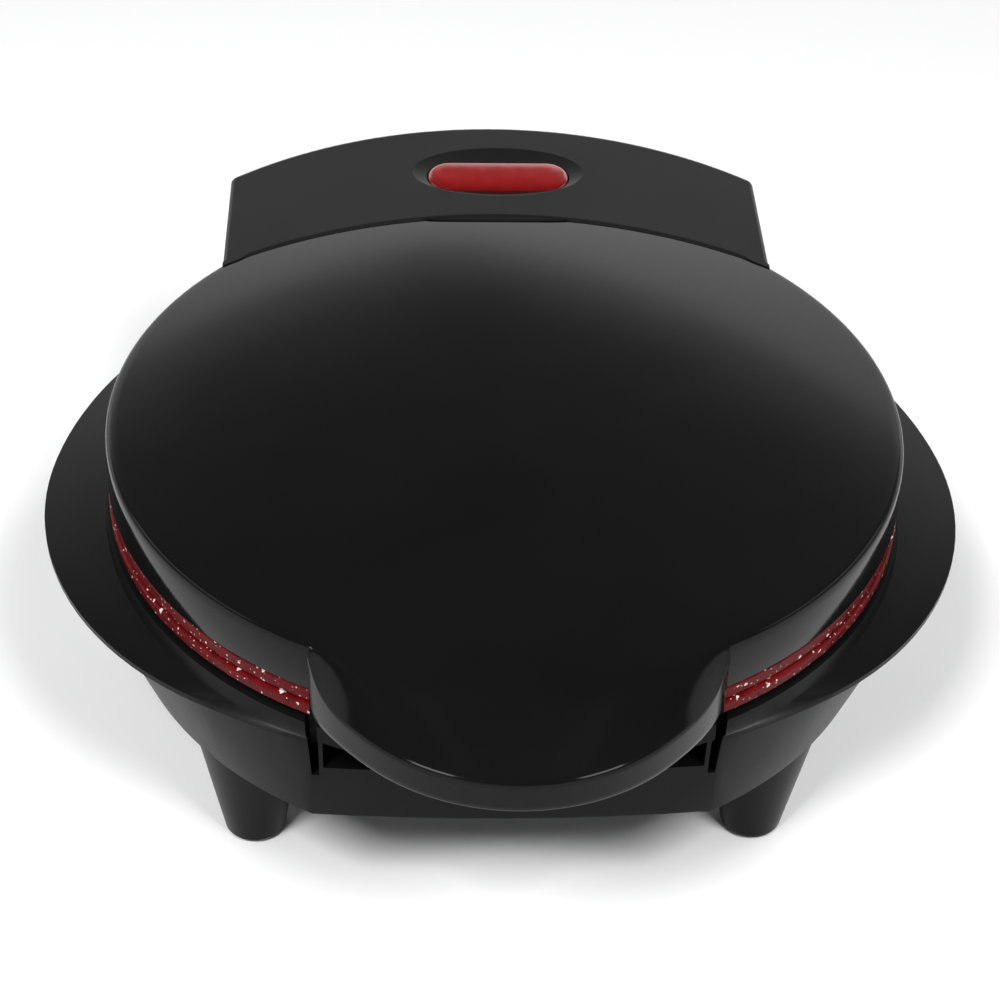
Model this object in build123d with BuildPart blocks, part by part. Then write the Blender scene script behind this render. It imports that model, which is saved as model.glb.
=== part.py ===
"""Electric omelette maker: a round two-plate cooker with a hinged lid, in millimetres.

The table is Z = 0, the front (thumb tongue) faces -Y and +X is to the right.
Plan positions are given from the plate axis, and heights from the table.
"""
import os
from math import atan2, cos, degrees, hypot, radians, sin, sqrt, tan

from build123d import *

# ---------------------------------------------------------------- driving dimensions

# Heights, stacked from the table up
foot_clearance = 32.4        # table to the bottom edge of the bowl
bowl_height = 26.0           # bottom edge of the bowl to the underside of the brim
brim_edge = 1.5              # thickness of the brim at its edge
brim_fall = 2.6              # drop of the brim from the collar to its edge
collar_height = 3.8          # collar above the brim
plate_shadow_gap = 1.7       # open line between collar and lower plate
lower_rim_height = 3.4
plate_gap = 0.3              # between the closed plates
upper_rim_height = 3.9
lid_shadow_gap = 0.2         # upper plate to lid skirt
skirt_depth = 13.0
dome_rise = 6.6

# Plan of the lid
lid_radius = 97.9
skirt_flare = 0.8            # the skirt is this much wider at its lower edge
rim_band_height = 2.2        # steep band below the lid's edge
rim_band_lean = 0.5
lid_wall = 2.2
tongue_half_width = 46.5
tongue_length = 19.3         # lid's edge to the tip of the tongue
tongue_nose_half_width = 30.0
tongue_nose_bow = 10.6       # how far the nose arc stands out from its chord
tongue_flank_bow = 1.1
tongue_root_step = 1.2
tongue_root_setback = 0.6    # the tongue springs from the dome this far inside its edge
tongue_depth = 20.4          # lid edge to the lower edge of the tongue
tongue_lip_height = 8.0
tongue_lip_bevel = 1.2
dimple_half_length = 20.0
dimple_half_width = 8.2
dimple_depth = 1.7

# Hinge block behind the dome
block_half_width = 74.0
block_rear_radius = 117.0
block_length = 32.7          # lid's edge to the rear of the block
block_corner_radius = 3.0
block_top_radius = 1.2
block_front_radius = 129.4
block_joint_setback = 11.7   # lid's edge back to the joint line between dome and block
block_slope = 3.83           # degrees, the top rises towards the rear
block_step = 0.5             # the block's top stands this much above the dome
block_joint_gap = 0.4
notch_half_length = 19.5
notch_width = 3.0
notch_depth = 1.4

# Indicator
lens_x = 1.5                 # the lamp sits a little to the right of the middle
lens_setback = 8.1           # lid's edge to the middle of the lens
lens_length = 40.3
lens_width = 13.8
lens_corner_radius = 6.5
lens_height = 2.8
lens_edge_radius = 1.6
dish_setback = 10.0
dish_length = 48.8
dish_width = 24.0
dish_depth = 2.2
lens_fit = 0.15
lamp_radius = 3.0
lamp_length = 20.0

# Cooking plates
lower_plate_radius = 98.9
upper_plate_radius = 98.3
plate_wall = 2.4
plate_edge_radius = 0.7
plate_clearance = 0.4        # lower plate to the inside of the tongue
pocket_radius = 78.0
pocket_divider = 12.0
pocket_corner_radius = 13.0
pocket_draft = 25.0
lower_pocket_depth = 11.0
upper_pocket_depth = 7.5

# Base
collar_radius = 100.3
collar_draft = 10.0          # degrees
collar_width = 4.0
seat_width = 6.2
seat_fit = 0.7               # seat to the inside of the plate's rim
seat_thickness = 2.0
brim_radius = 116.5
brim_flank_tightening = 26.5 # the brim's flanks curve this much more tightly than its rear
brim_front_radius = 180.0
brim_ear_azimuth = 8.0       # degrees: the brim is a true circle behind this
brim_flank_azimuth = -58.0   # degrees: direction of the normal where flank meets front
crease_azimuth = -61.2       # degrees: the upright creases beside the front panel
brim_overhang = 1.2          # brim beyond the bowl at the shoulders
bowl_top_setback = 9.7       # brim's edge to the top of the bowl
bowl_bottom_radius = 96.6
panel_bow = 2.0
bowl_edge_chamfer = 1.2
base_wall = 2.5
recess_half_width = 43.6
recess_sill = 50.0           # height of the front panel's top edge
recess_roof = 61.5
recess_wall_y = -79.6        # back wall of the recess
slot_inner = 44.6            # tapered slot beside the recess
slot_outer = 47.4
slot_tip_outer = 46.3
slot_tip_height = 47.4
base_rear = 101.0
base_block_half_width = 72.5
base_block_gap = 0.9         # below the lid's block
wire_slot_half_width = 30.0
lug_clearance = 1.0

# Feet
foot_x = 62.6
foot_front_y = -56.0
foot_rear_y = 56.0
foot_bottom_radius = 7.6
foot_draft = 9.4
pad_radius = 6.2
pad_height = 4.0
pad_stand = 1.2              # the pad stands this much below the foot
foot_cap = 6.0               # height of the leg's top inside the bowl
leg_fit = 0.1                # leg to its opening in the bowl
foot_cover_hole = 13.8

# Hinge
hinge_setback = 5.1          # lid's edge to the hinge axis
hinge_height = 69.4
knuckle_radius = 5.5
pin_radius = 2.0
pin_running_clearance = 0.06
pin_head_radius = 3.2
pin_head = 1.4
pin_head_fit = 0.3
ear_inner = 59.4
ear_width = 5.8
knuckle_gap = 0.4
lug_width = 6.4

# Heating and wiring parts
element_radius = 2.8
element_loop_radius = 52.0
element_tail_spacing = 30.0
element_tail_reach = 71.0
element_bend = 9.0
terminal_width = 6.3
terminal_thickness = 0.8
terminal_length = 9.0
clamp_width = 12.0
clamp_thickness = 1.2
clamp_length = 17.0
clamp_gap = 1.0              # boss to element
clamp_boss_radius = 4.0
clamp_screw_grip = 4.0
shield_thickness = 0.8
shield_radius = 62.0
thermostat_radius = 8.0
thermostat_height = 6.5
sensor_x = 26.0
sensor_y = 6.0
sensor_clearance = 1.5
fuse_radius = 2.2
fuse_length = 14.0
terminal_block_y = 50.0
terminal_block_length = 36.0
terminal_block_width = 14.0
terminal_block_height = 12.0
terminal_block_pitch = 11.0
terminal_well_radius = 3.2
terminal_well_depth = 7.0
cord_bore_radius = 3.7
cord_bush_radius = 5.6
cord_bush_flange = 7.4
cord_bush_y = 80.0
cord_bush_depth = 9.0
flange_thickness = 2.0

# Sheet, screws and general fits
cover_thickness = 2.0
cover_recess = 0.6
cover_fit = 0.4
cover_screw_grip = 7.0
cover_screw_circle = 89.0
front_boss_x = 30.0
front_boss_y = 80.0
hinge_cover_gap = 4.8        # lid's skirt to the front of the hinge cover
hinge_cover_half_width = 56.0
hinge_cover_clearance = 0.2  # above the skirt's lower edge
hinge_boss_x = 46.0
hinge_boss_setback = 16.6
lens_flange = 1.2
lamp_wall = 1.4
lamp_holder_height = 5.0
screw_radius = 1.5
screw_fit = 0.05
screw_head_radius = 3.0
screw_head_height = 1.5
boss_radius = 3.6
ring_thickness = 2.0
ring_width = 9.4
ring_clearance = 0.3         # mounting ring to the inside of the lid's wall
ring_screw_grip = 5.0
screw_setback = 3.9          # plate screws inside the ring's edge
plate_rim_width = 3.0
plate_skin = 0.6             # left below a blind hole in a plate
vent_length = 26.0
vent_width = 3.0
vent_pitch = 7.0
vent_spacing = 44.0
vent_rows = 5

# ---------------------------------------------------------------- derived levels and places

tongue_reach = lid_radius + tongue_length        # all reaches are from the plate axis
block_reach = lid_radius + block_length
block_front_reach = lid_radius - block_joint_setback
lens_y = lid_radius + lens_setback
dish_y = lid_radius + dish_setback
hinge_y = lid_radius + hinge_setback
hinge_cover_front = lid_radius + skirt_flare + hinge_cover_gap
hinge_boss_y = lid_radius + hinge_boss_setback
ring_outer_radius = lid_radius - lid_wall - ring_clearance
ring_inner_radius = ring_outer_radius - ring_width
screw_circle = ring_outer_radius - screw_setback
seat_outer_radius = lower_plate_radius - plate_rim_width - seat_fit
seat_inner_radius = seat_outer_radius - seat_width
bowl_top_radius = brim_radius - bowl_top_setback
brim_flank_radius = brim_radius - brim_flank_tightening
plate_y = (tongue_reach - block_reach) / 2      # centres the whole on the origin
brim_bottom = foot_clearance + bowl_height
brim_edge_top = brim_bottom + brim_edge
brim_root = brim_edge_top + brim_fall
collar_top = brim_root + collar_height
lower_rim_bottom = collar_top + plate_shadow_gap
lower_face = lower_rim_bottom + lower_rim_height
upper_face = lower_face + plate_gap
upper_rim_top = upper_face + upper_rim_height
skirt_bottom = upper_rim_top + lid_shadow_gap
lid_edge = skirt_bottom + skirt_depth
dome_top = lid_edge + dome_rise
tongue_bottom = lid_edge - tongue_depth
lip_top = tongue_bottom + tongue_lip_height
base_block_top = skirt_bottom - base_block_gap
tongue_root_radius = lid_radius - tongue_root_setback
dome_sphere_radius = (lid_radius**2 + dome_rise**2) / (2 * dome_rise)

ring_top = upper_rim_top + ring_thickness
hinge_cover_top = skirt_bottom + hinge_cover_clearance + cover_thickness
cover_bottom = foot_clearance + cover_recess
cover_top = cover_bottom + cover_thickness
lug_inner = ear_inner + ear_width + knuckle_gap
seat_top = lower_face - plate_wall
seat_bottom = collar_top - seat_thickness
lower_screw_length = lower_face - plate_skin - seat_bottom
clamp_screw_length = shield_thickness + clamp_thickness + clamp_screw_grip

plate_axis = Axis((0, plate_y, 0), (0, 0, 1))
hinge_axis_y = plate_y + hinge_y
side_plane = Plane.XZ.offset(-plate_y)          # local x is X, local y is height


def level(height):
    """Horizontal plane at a height, with its origin on the plate axis."""
    return Plane((0, plate_y, height))


def at_azimuth(reach, azimuth):
    """Plan point at a distance and direction from the plate axis."""
    return (reach * cos(radians(azimuth)), reach * sin(radians(azimuth)))


def reach_to_circle(centre, radius, azimuth):
    """Distance from the plate axis to a circle about another centre."""
    along = centre[0] * cos(radians(azimuth)) + centre[1] * sin(radians(azimuth))
    return along + sqrt(along**2 - centre[0]**2 - centre[1]**2 + radius**2)


def dome_height(radius):
    """Height of the dome's outside at a distance from the plate axis."""
    return dome_top - dome_sphere_radius + sqrt(dome_sphere_radius**2 - radius**2)


# ---------------------------------------------------------------- outlines shared by parts

flank_centre = at_azimuth(brim_radius - brim_flank_radius, brim_ear_azimuth)
flank_end = (
    flank_centre[0] + brim_flank_radius * cos(radians(brim_flank_azimuth)),
    flank_centre[1] + brim_flank_radius * sin(radians(brim_flank_azimuth)),
)
front_centre = (
    flank_end[0] - brim_front_radius * cos(radians(brim_flank_azimuth)),
    flank_end[1] - brim_front_radius * sin(radians(brim_flank_azimuth)),
)
shoulder_azimuth = degrees(atan2(flank_end[1], flank_end[0]))
flank_azimuth = (brim_ear_azimuth + shoulder_azimuth) / 2
front_azimuth = (shoulder_azimuth + crease_azimuth) / 2
brim_flank_reach = reach_to_circle(flank_centre, brim_flank_radius, flank_azimuth)
brim_shoulder_reach = hypot(*flank_end)
brim_front_reach = reach_to_circle(front_centre, brim_front_radius, front_azimuth)
brim_crease_reach = reach_to_circle(front_centre, brim_front_radius, crease_azimuth)


def base_outline(height, rear, flank, shoulder, front, crease, bow):
    """Closed plan outline of the base: rear circle, flanks, front sides and front panel."""
    with BuildSketch(level(height)) as outline:
        with BuildLine():
            for side in (1, -1):
                def mirrored(point):
                    return (side * point[0], point[1])
                ear_point = mirrored(at_azimuth(rear, brim_ear_azimuth))
                shoulder_point = mirrored(at_azimuth(shoulder, shoulder_azimuth))
                crease_point = mirrored(at_azimuth(crease, crease_azimuth))
                ThreePointArc((0, rear), mirrored(at_azimuth(rear, 50)), ear_point)
                ThreePointArc(ear_point, mirrored(at_azimuth(flank, flank_azimuth)), shoulder_point)
                ThreePointArc(shoulder_point, mirrored(at_azimuth(front, front_azimuth)), crease_point)
            left = (-at_azimuth(crease, crease_azimuth)[0], at_azimuth(crease, crease_azimuth)[1])
            right = at_azimuth(crease, crease_azimuth)
            ThreePointArc(left, (0, left[1] - bow), right)
        make_face()
    return outline.sketch


def bowl_outline(height, inset=0.0):
    """Outline of the bowl at a height between its bottom edge and the brim."""
    share = (height - foot_clearance) / bowl_height
    radius = bowl_bottom_radius + share * (bowl_top_radius - bowl_bottom_radius) - inset

    def between(top_reach):
        return min(bowl_bottom_radius + share * (top_reach - bowl_bottom_radius) - inset, radius)

    return base_outline(
        height,
        radius,
        radius,
        between(brim_shoulder_reach - brim_overhang),
        between(brim_front_reach - brim_overhang / 2),
        between(brim_crease_reach - brim_overhang / 6),
        panel_bow,
    )


def base_block_outline(height, inset=0.0):
    """Rear part of the base below the hinge block, as a rectangle."""
    with BuildSketch(level(height)) as outline:
        with Locations((0, base_rear - inset)):
            Rectangle(2 * (base_block_half_width - inset), base_rear / 2, align=(Align.CENTER, Align.MAX))
        fillet(outline.vertices().group_by(Axis.Y)[-1], block_corner_radius)
    return outline.sketch


def tongue_section(height, nose_half, nose_y, tip_y, half_width, root_y, flank):
    """Six-edged plan: nose arc, two flank arcs, two sides and a chord well inside the lid."""
    inner_y = -lid_radius / 2
    with BuildSketch(level(height)) as section:
        with BuildLine():
            ThreePointArc((-nose_half, nose_y), (0, tip_y), (nose_half, nose_y))
            ThreePointArc((nose_half, nose_y), flank, (half_width, root_y))
            Line((half_width, root_y), (half_width, inner_y))
            Line((half_width, inner_y), (-half_width, inner_y))
            Line((-half_width, inner_y), (-half_width, root_y))
            ThreePointArc((-half_width, root_y), (-flank[0], flank[1]), (-nose_half, nose_y))
        make_face()
    return section.sketch


def tongue_lip(height, inset=0.0, setback=0.0):
    """Plan of the tongue at its lip, with its nose drawn back by a setback."""
    half_width = tongue_half_width - inset
    nose_half = tongue_nose_half_width - inset / 2
    nose_y = tongue_nose_bow - tongue_reach + inset + setback
    root_y = -sqrt(lid_radius**2 - tongue_half_width**2) - tongue_root_step + inset / 2
    run = half_width - nose_half
    rise = root_y - nose_y
    share = tongue_flank_bow / hypot(run, rise)
    flank = ((half_width + nose_half) / 2 + share * rise, (root_y + nose_y) / 2 - share * run)
    tip_y = inset + setback - tongue_reach
    return tongue_section(height, nose_half, nose_y, tip_y, half_width, root_y, flank)


def tongue_root(height, radius, inset=0.0):
    """Plan of the tongue where it springs from the dome."""
    half_width = tongue_half_width - inset
    nose_half = tongue_nose_half_width - inset / 2
    middle = (half_width + nose_half) / 2

    def on_circle(x):
        return -sqrt(radius**2 - x**2)

    return tongue_section(
        height, nose_half, on_circle(nose_half), -radius, half_width, on_circle(half_width),
        (middle, on_circle(middle)),
    )


def block_outline(height, inset=0.0, front_setback=0.0):
    """Plan of the hinge block: a bowed front against the dome and a bowed rear."""
    half_width = block_half_width - inset
    rear_centre = block_reach - block_rear_radius
    rear_radius = block_rear_radius - inset
    front_centre_y = block_front_reach - block_front_radius
    front_radius = block_front_radius + front_setback
    rear_y = rear_centre + sqrt(rear_radius**2 - half_width**2)
    front_y = front_centre_y + sqrt(front_radius**2 - half_width**2)
    with BuildSketch(level(height)) as outline:
        with BuildLine():
            ThreePointArc((-half_width, rear_y), (0, rear_centre + rear_radius), (half_width, rear_y))
            ThreePointArc((-half_width, front_y), (0, front_centre_y + front_radius), (half_width, front_y))
            Line((-half_width, front_y), (-half_width, rear_y))
            Line((half_width, front_y), (half_width, rear_y))
        make_face()
        fillet(outline.vertices().group_by(Axis.Y)[-1], block_corner_radius)
    return outline.sketch


def pocket_pair(height, growth=0.0):
    """Two half-moon pockets with their straight sides either side of the divider."""
    with BuildSketch(level(height)) as pockets:
        Circle(pocket_radius + growth)
        with Locations((pocket_divider / 2 - growth, 0)):
            Rectangle(2 * pocket_radius, 3 * pocket_radius, align=(Align.MIN, Align.CENTER), mode=Mode.INTERSECT)
        fillet(pockets.vertices(), pocket_corner_radius + growth)
        mirror(about=Plane.YZ)
    return pockets.sketch


def block_surface(y):
    """Height of the block's sloping top at a plan position."""
    rise = (y - block_front_reach) * tan(radians(block_slope))
    return dome_height(block_front_reach) + block_step + rise


# ---------------------------------------------------------------- shared forms and fasteners

def disc_form(profile_points):
    """Solid of revolution about the plate axis from (radius, height) corner points."""
    with BuildPart() as form:
        with BuildSketch(side_plane):
            with BuildLine():
                Polyline(*profile_points, close=True)
            make_face()
        revolve(axis=plate_axis)
    return form.part


def dome_form(inset=0.0, bottom=skirt_bottom):
    """Domed disc with a steep rim band and a flared skirt."""
    top = dome_top - inset
    edge = lid_radius - inset
    edge_height = dome_height(edge) - inset
    middle = edge / 2
    with BuildPart() as form:
        with BuildSketch(side_plane):
            with BuildLine():
                Line((0, bottom), (edge + skirt_flare, bottom))
                Line((edge + skirt_flare, bottom), (edge + rim_band_lean, edge_height - rim_band_height))
                Line((edge + rim_band_lean, edge_height - rim_band_height), (edge, edge_height))
                ThreePointArc((edge, edge_height), (middle, dome_height(middle) - inset), (0, top))
                Line((0, top), (0, bottom))
            make_face()
        revolve(axis=plate_axis)
    return form.part


def tongue_form(inset=0.0):
    """Thumb tongue: a lip joined to the dome by a sloping top, clear of the plates below the lid."""
    lip_height = lip_top - inset / 2
    edge_height = lip_height - tongue_lip_bevel
    with BuildPart() as form:
        add(tongue_root(dome_height(tongue_root_radius) - inset, tongue_root_radius - inset, inset))
        add(tongue_lip(lip_height, inset, tongue_lip_bevel))
        add(tongue_lip(edge_height, inset))
        loft(ruled=True)
        extrude(tongue_lip(edge_height, inset), amount=tongue_bottom - edge_height - inset)
        with BuildSketch(level(skirt_bottom)):
            Circle(lower_plate_radius + plate_clearance)
        extrude(amount=-tongue_depth, mode=Mode.SUBTRACT)
    return form.part


def polar_places(radius, azimuths):
    """Plan points from the plate axis at one radius."""
    return [at_azimuth(radius, azimuth) for azimuth in azimuths]


def oval_ring(surface, half_length, half_width, depth):
    """Torus whose outermost patch sinks an oval dish into a surface plane."""
    long_radius = (half_length**2 + depth**2) / (2 * depth)
    short_radius = (half_width**2 + depth**2) / (2 * depth)
    centre = surface.offset(long_radius - depth).origin
    with BuildPart() as ring:
        with Locations(Plane(centre, x_dir=(1, 0, 0), z_dir=surface.y_dir)):
            Torus(long_radius - short_radius, short_radius)
    return ring.part


def tilted_plane(x, y, height, slope):
    """Plane across the model at a place, rising towards the rear by slope degrees."""
    normal = (0, -sin(radians(slope)), cos(radians(slope)))
    return Plane((x, plate_y + y, height), x_dir=(1, 0, 0), z_dir=normal)


# ---------------------------------------------------------------- fastening places

plate_screw_places = polar_places(screw_circle, (45, 135, 225, 315))
dome_screw_places = polar_places(screw_circle, (0, 180, 240, 300))
block_screw_places = polar_places(screw_circle, (75, 105))
clamp_azimuths = (20, 160, 235, 305)
clamp_boss_circle = element_loop_radius - element_radius - clamp_boss_radius - clamp_gap
clamp_places = polar_places(clamp_boss_circle, clamp_azimuths)
ring_boss_places = polar_places(cover_screw_circle, (0, 68, 112, 180))
front_boss_places = [(side * front_boss_x, -front_boss_y) for side in (1, -1)]
cover_screw_places = ring_boss_places + front_boss_places
hinge_cover_places = [(side * hinge_boss_x, hinge_boss_y) for side in (1, -1)]
foot_places = [(side * foot_x, y) for y in (foot_front_y, foot_rear_y) for side in (1, -1)]


# ---------------------------------------------------------------- lid cover

tongue_fall = dome_height(tongue_root_radius) - lip_top
tongue_run = tongue_reach - tongue_root_radius
tongue_slope = degrees(atan2(tongue_fall, tongue_run))
dimple_surface = tilted_plane(0, -tongue_reach + tongue_run / 2, lip_top + tongue_fall / 2, tongue_slope)
notch_surface = tilted_plane(0, block_front_reach, dome_height(block_front_reach), 0)
chamber = dome_form(lid_wall, skirt_bottom - 1)
dimple = oval_ring(dimple_surface, dimple_half_length, dimple_half_width, dimple_depth)
notch = oval_ring(notch_surface, notch_half_length, notch_width, notch_depth)

with BuildPart() as tongue_cavity:
    add(tongue_form(lid_wall))
    with BuildSketch(level(tongue_bottom - lid_wall)):
        Circle(lid_radius + skirt_flare)
    extrude(amount=2 * tongue_depth, mode=Mode.SUBTRACT)

with BuildPart() as lid_cover:
    add(dome_form())
    add(tongue_form())
    add(dimple, mode=Mode.SUBTRACT)
    add(chamber, mode=Mode.SUBTRACT)
    add(tongue_cavity.part, mode=Mode.SUBTRACT)
    # Bosses hang from the dome to the mounting ring
    with BuildSketch(level(ring_top)):
        with Locations(*dome_screw_places):
            Circle(boss_radius)
    extrude(until=Until.NEXT)
    with BuildSketch(level(ring_top)):
        with Locations(*dome_screw_places):
            Circle(screw_radius)
    extrude(amount=ring_screw_grip, mode=Mode.SUBTRACT)
    # The rear is cut away along a bowed line for the hinge block
    extrude(block_outline(skirt_bottom - 1, -block_joint_gap, -block_joint_gap),
            amount=2 * skirt_depth, mode=Mode.SUBTRACT)
    add(notch, mode=Mode.SUBTRACT)

lid_cover.part.label = "lid_cover"


# ---------------------------------------------------------------- upper housing with the hinge block

def block_form(inset=0.0, bottom=skirt_bottom, edge_radius=0.0):
    """Hinge block as a solid, with its top cut to the slope."""
    with BuildPart() as form:
        extrude(block_outline(bottom, inset, -inset), amount=2 * skirt_depth)
        top_plane = tilted_plane(0, block_front_reach, block_surface(block_front_reach) - inset, block_slope)
        with BuildSketch(top_plane):
            Rectangle(4 * block_half_width, 4 * block_half_width)
        extrude(amount=4 * dome_rise, mode=Mode.SUBTRACT)
        if edge_radius:
            fillet(form.faces().sort_by(Axis.Z)[-1].edges().sort_by(Axis.Y)[1:], edge_radius)
    return form.part


def side_by_side(inner, width, reach_up, reach_front):
    """Pair of rounded hinge knuckles with a web running up or to the front."""
    with BuildPart() as pair:
        with BuildSketch(Plane.YZ.offset(inner)):
            with Locations((hinge_axis_y, hinge_height)):
                Circle(knuckle_radius)
                if reach_up:
                    Rectangle(2 * knuckle_radius, reach_up, align=(Align.CENTER, Align.MIN))
                if reach_front:
                    Rectangle(reach_front, 2 * knuckle_radius, align=(Align.MAX, Align.CENTER))
        extrude(amount=width)
        mirror(about=Plane.YZ)
    return pair.part


def round_bars(inner, length, radius):
    """Pair of round bars on the hinge axis."""
    with BuildPart() as pair:
        with BuildSketch(Plane.YZ.offset(inner)):
            with Locations((hinge_axis_y, hinge_height)):
                Circle(radius)
        extrude(amount=length)
        mirror(about=Plane.YZ)
    return pair.part


block_solid = block_form()
block_hollow = block_form(lid_wall, skirt_bottom - 1)
dish_plane = tilted_plane(lens_x, dish_y, block_surface(dish_y), block_slope)
lens_plane = tilted_plane(lens_x, lens_y, block_surface(lens_y), block_slope)
dish = oval_ring(dish_plane, dish_length / 2, dish_width / 2, dish_depth)
lugs = side_by_side(lug_inner, lug_width, skirt_bottom + skirt_depth - hinge_height, 0)
lug_bores = round_bars(lug_inner - knuckle_gap, lug_width + 2 * knuckle_gap, pin_radius + pin_running_clearance)

with BuildPart() as rear_skirt:
    add(disc_form([
        (lid_radius + skirt_flare - lid_wall, skirt_bottom),
        (lid_radius + skirt_flare, skirt_bottom),
        (lid_radius, lid_edge + dome_rise),
        (lid_radius - lid_wall, lid_edge + dome_rise),
    ]))
    add(block_solid, mode=Mode.INTERSECT)

with BuildPart() as upper_housing:
    add(block_form(edge_radius=block_top_radius))
    add(block_hollow, mode=Mode.SUBTRACT)
    add(rear_skirt.part)
    # Thicker ceiling below the lens dish
    with BuildSketch(dish_plane.offset(-dish_depth - lid_wall)):
        RectangleRounded(dish_length + 2 * lid_wall, dish_width + 2 * lid_wall, dish_width / 2)
    extrude(amount=dish_depth + lid_wall / 2)
    # Bosses for the mounting ring and for the hinge cover
    with BuildSketch(level(ring_top)):
        with Locations(*block_screw_places):
            Circle(boss_radius)
    extrude(until=Until.NEXT)
    with BuildSketch(level(hinge_cover_top)):
        with Locations(*hinge_cover_places):
            Circle(boss_radius)
    extrude(until=Until.NEXT)
    add(lugs)
    add(dish, mode=Mode.SUBTRACT)
    with BuildSketch(lens_plane.offset(-2 * dish_depth - lid_wall)):
        RectangleRounded(lens_length + 2 * lens_fit, lens_width + 2 * lens_fit, lens_corner_radius)
    extrude(amount=3 * dish_depth + lid_wall, mode=Mode.SUBTRACT)
    with BuildSketch(level(ring_top)):
        with Locations(*block_screw_places):
            Circle(screw_radius)
    extrude(amount=ring_screw_grip, mode=Mode.SUBTRACT)
    with BuildSketch(level(hinge_cover_top)):
        with Locations(*hinge_cover_places):
            Circle(screw_radius)
    extrude(amount=cover_screw_grip, mode=Mode.SUBTRACT)
    add(lug_bores, mode=Mode.SUBTRACT)

upper_housing.part.label = "upper_housing"

with BuildPart() as hinge_cover:
    extrude(block_outline(hinge_cover_top, lid_wall + cover_fit), amount=-cover_thickness)
    with BuildSketch(level(hinge_cover_top)):
        with Locations((0, hinge_cover_front)):
            Rectangle(2 * hinge_cover_half_width, block_reach, align=(Align.CENTER, Align.MIN))
    extrude(amount=-cover_thickness, mode=Mode.INTERSECT)
    with BuildSketch(level(hinge_cover_top)):
        with Locations(*hinge_cover_places):
            Circle(screw_radius + screw_fit)
    extrude(amount=-cover_thickness, mode=Mode.SUBTRACT)

hinge_cover.part.label = "hinge_cover"


# ---------------------------------------------------------------- indicator

with BuildPart() as indicator_lens:
    with BuildSketch(lens_plane.offset(-dish_depth - lid_wall)):
        RectangleRounded(lens_length, lens_width, lens_corner_radius)
    extrude(amount=lid_wall + lens_height)
    fillet(indicator_lens.faces().sort_by(Axis.Z)[-1].edges(), lens_edge_radius)
    with BuildSketch(lens_plane.offset(-dish_depth - lid_wall)):
        RectangleRounded(lens_length + 2 * lens_flange, lens_width + 2 * lens_flange, lens_corner_radius)
    extrude(amount=-lens_flange)

indicator_lens.part.label = "indicator_lens"

lamp_height = hinge_cover_top + lamp_holder_height
with BuildPart() as lamp_holder:
    with BuildSketch(level(hinge_cover_top)):
        with Locations((lens_x, lens_y)):
            Rectangle(lamp_length + 2 * lamp_wall, 2 * (lamp_radius + lamp_wall))
    extrude(amount=lamp_holder_height)
    with BuildSketch(Plane.YZ.offset(lens_x - lamp_length / 2)):
        with Locations((plate_y + lens_y, lamp_height)):
            Circle(lamp_radius)
    extrude(amount=lamp_length, mode=Mode.SUBTRACT)

lamp_holder.part.label = "lamp_holder"

with BuildPart() as indicator_lamp:
    with BuildSketch(Plane.YZ.offset(lens_x - lamp_length / 2)):
        with Locations((plate_y + lens_y, lamp_height)):
            Circle(lamp_radius)
    extrude(amount=lamp_length)
    fillet(indicator_lamp.edges().filter_by(GeomType.CIRCLE), lamp_radius / 3)

indicator_lamp.part.label = "indicator_lamp"


# ---------------------------------------------------------------- cooking plates

def cooking_plate(face, radius, rim, depth, up, boss_height, grip):
    """Cast plate with two half-moon pockets; the material lies above its face if up is 1."""
    floor = face + up * (depth + plate_wall)
    with BuildPart() as plate:
        with BuildSketch(level(face)):
            Circle(radius)
        extrude(amount=up * plate_wall)
        with BuildSketch(level(face)):
            Circle(radius)
            Circle(radius - plate_rim_width, mode=Mode.SUBTRACT)
        extrude(amount=up * rim)
        fillet(plate.edges().filter_by(GeomType.CIRCLE).group_by(SortBy.LENGTH)[-1], plate_edge_radius)
        extrude(pocket_pair(face, plate_wall), amount=up * (depth + plate_wall), taper=pocket_draft)
        extrude(pocket_pair(face), amount=up * depth, taper=pocket_draft, mode=Mode.SUBTRACT)
        if boss_height:
            with BuildSketch(level(face + up * plate_wall)):
                with Locations(*plate_screw_places):
                    Circle(boss_radius)
            extrude(amount=up * boss_height)
        with BuildSketch(level(floor)):
            with Locations(*clamp_places):
                Circle(clamp_boss_radius)
        extrude(amount=up * 2 * element_radius)
        with BuildSketch(level(face + up * (plate_wall + boss_height))):
            with Locations(*plate_screw_places):
                Circle(screw_radius)
        extrude(amount=-up * grip, mode=Mode.SUBTRACT)
        with BuildSketch(level(floor + up * 2 * element_radius)):
            with Locations(*clamp_places):
                Circle(screw_radius)
        extrude(amount=-up * clamp_screw_grip, mode=Mode.SUBTRACT)
    return plate.part


with BuildPart() as upper_cooking_plate:
    add(cooking_plate(
        upper_face, upper_plate_radius, upper_rim_height, upper_pocket_depth, 1,
        upper_rim_height - plate_wall, upper_rim_height - plate_skin,
    ))

upper_cooking_plate.part.label = "upper_cooking_plate"

with BuildPart() as lower_cooking_plate:
    add(cooking_plate(
        lower_face, lower_plate_radius, lower_rim_height, lower_pocket_depth, -1,
        0, plate_wall - plate_skin,
    ))

lower_cooking_plate.part.label = "lower_cooking_plate"

with BuildPart() as upper_mounting_ring:
    with BuildSketch(level(upper_rim_top)):
        Circle(ring_outer_radius)
        Circle(ring_inner_radius, mode=Mode.SUBTRACT)
        with Locations(*plate_screw_places, *dome_screw_places, *block_screw_places):
            Circle(screw_radius + screw_fit, mode=Mode.SUBTRACT)
    extrude(amount=ring_thickness)

upper_mounting_ring.part.label = "upper_mounting_ring"


# ---------------------------------------------------------------- heating elements

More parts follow.
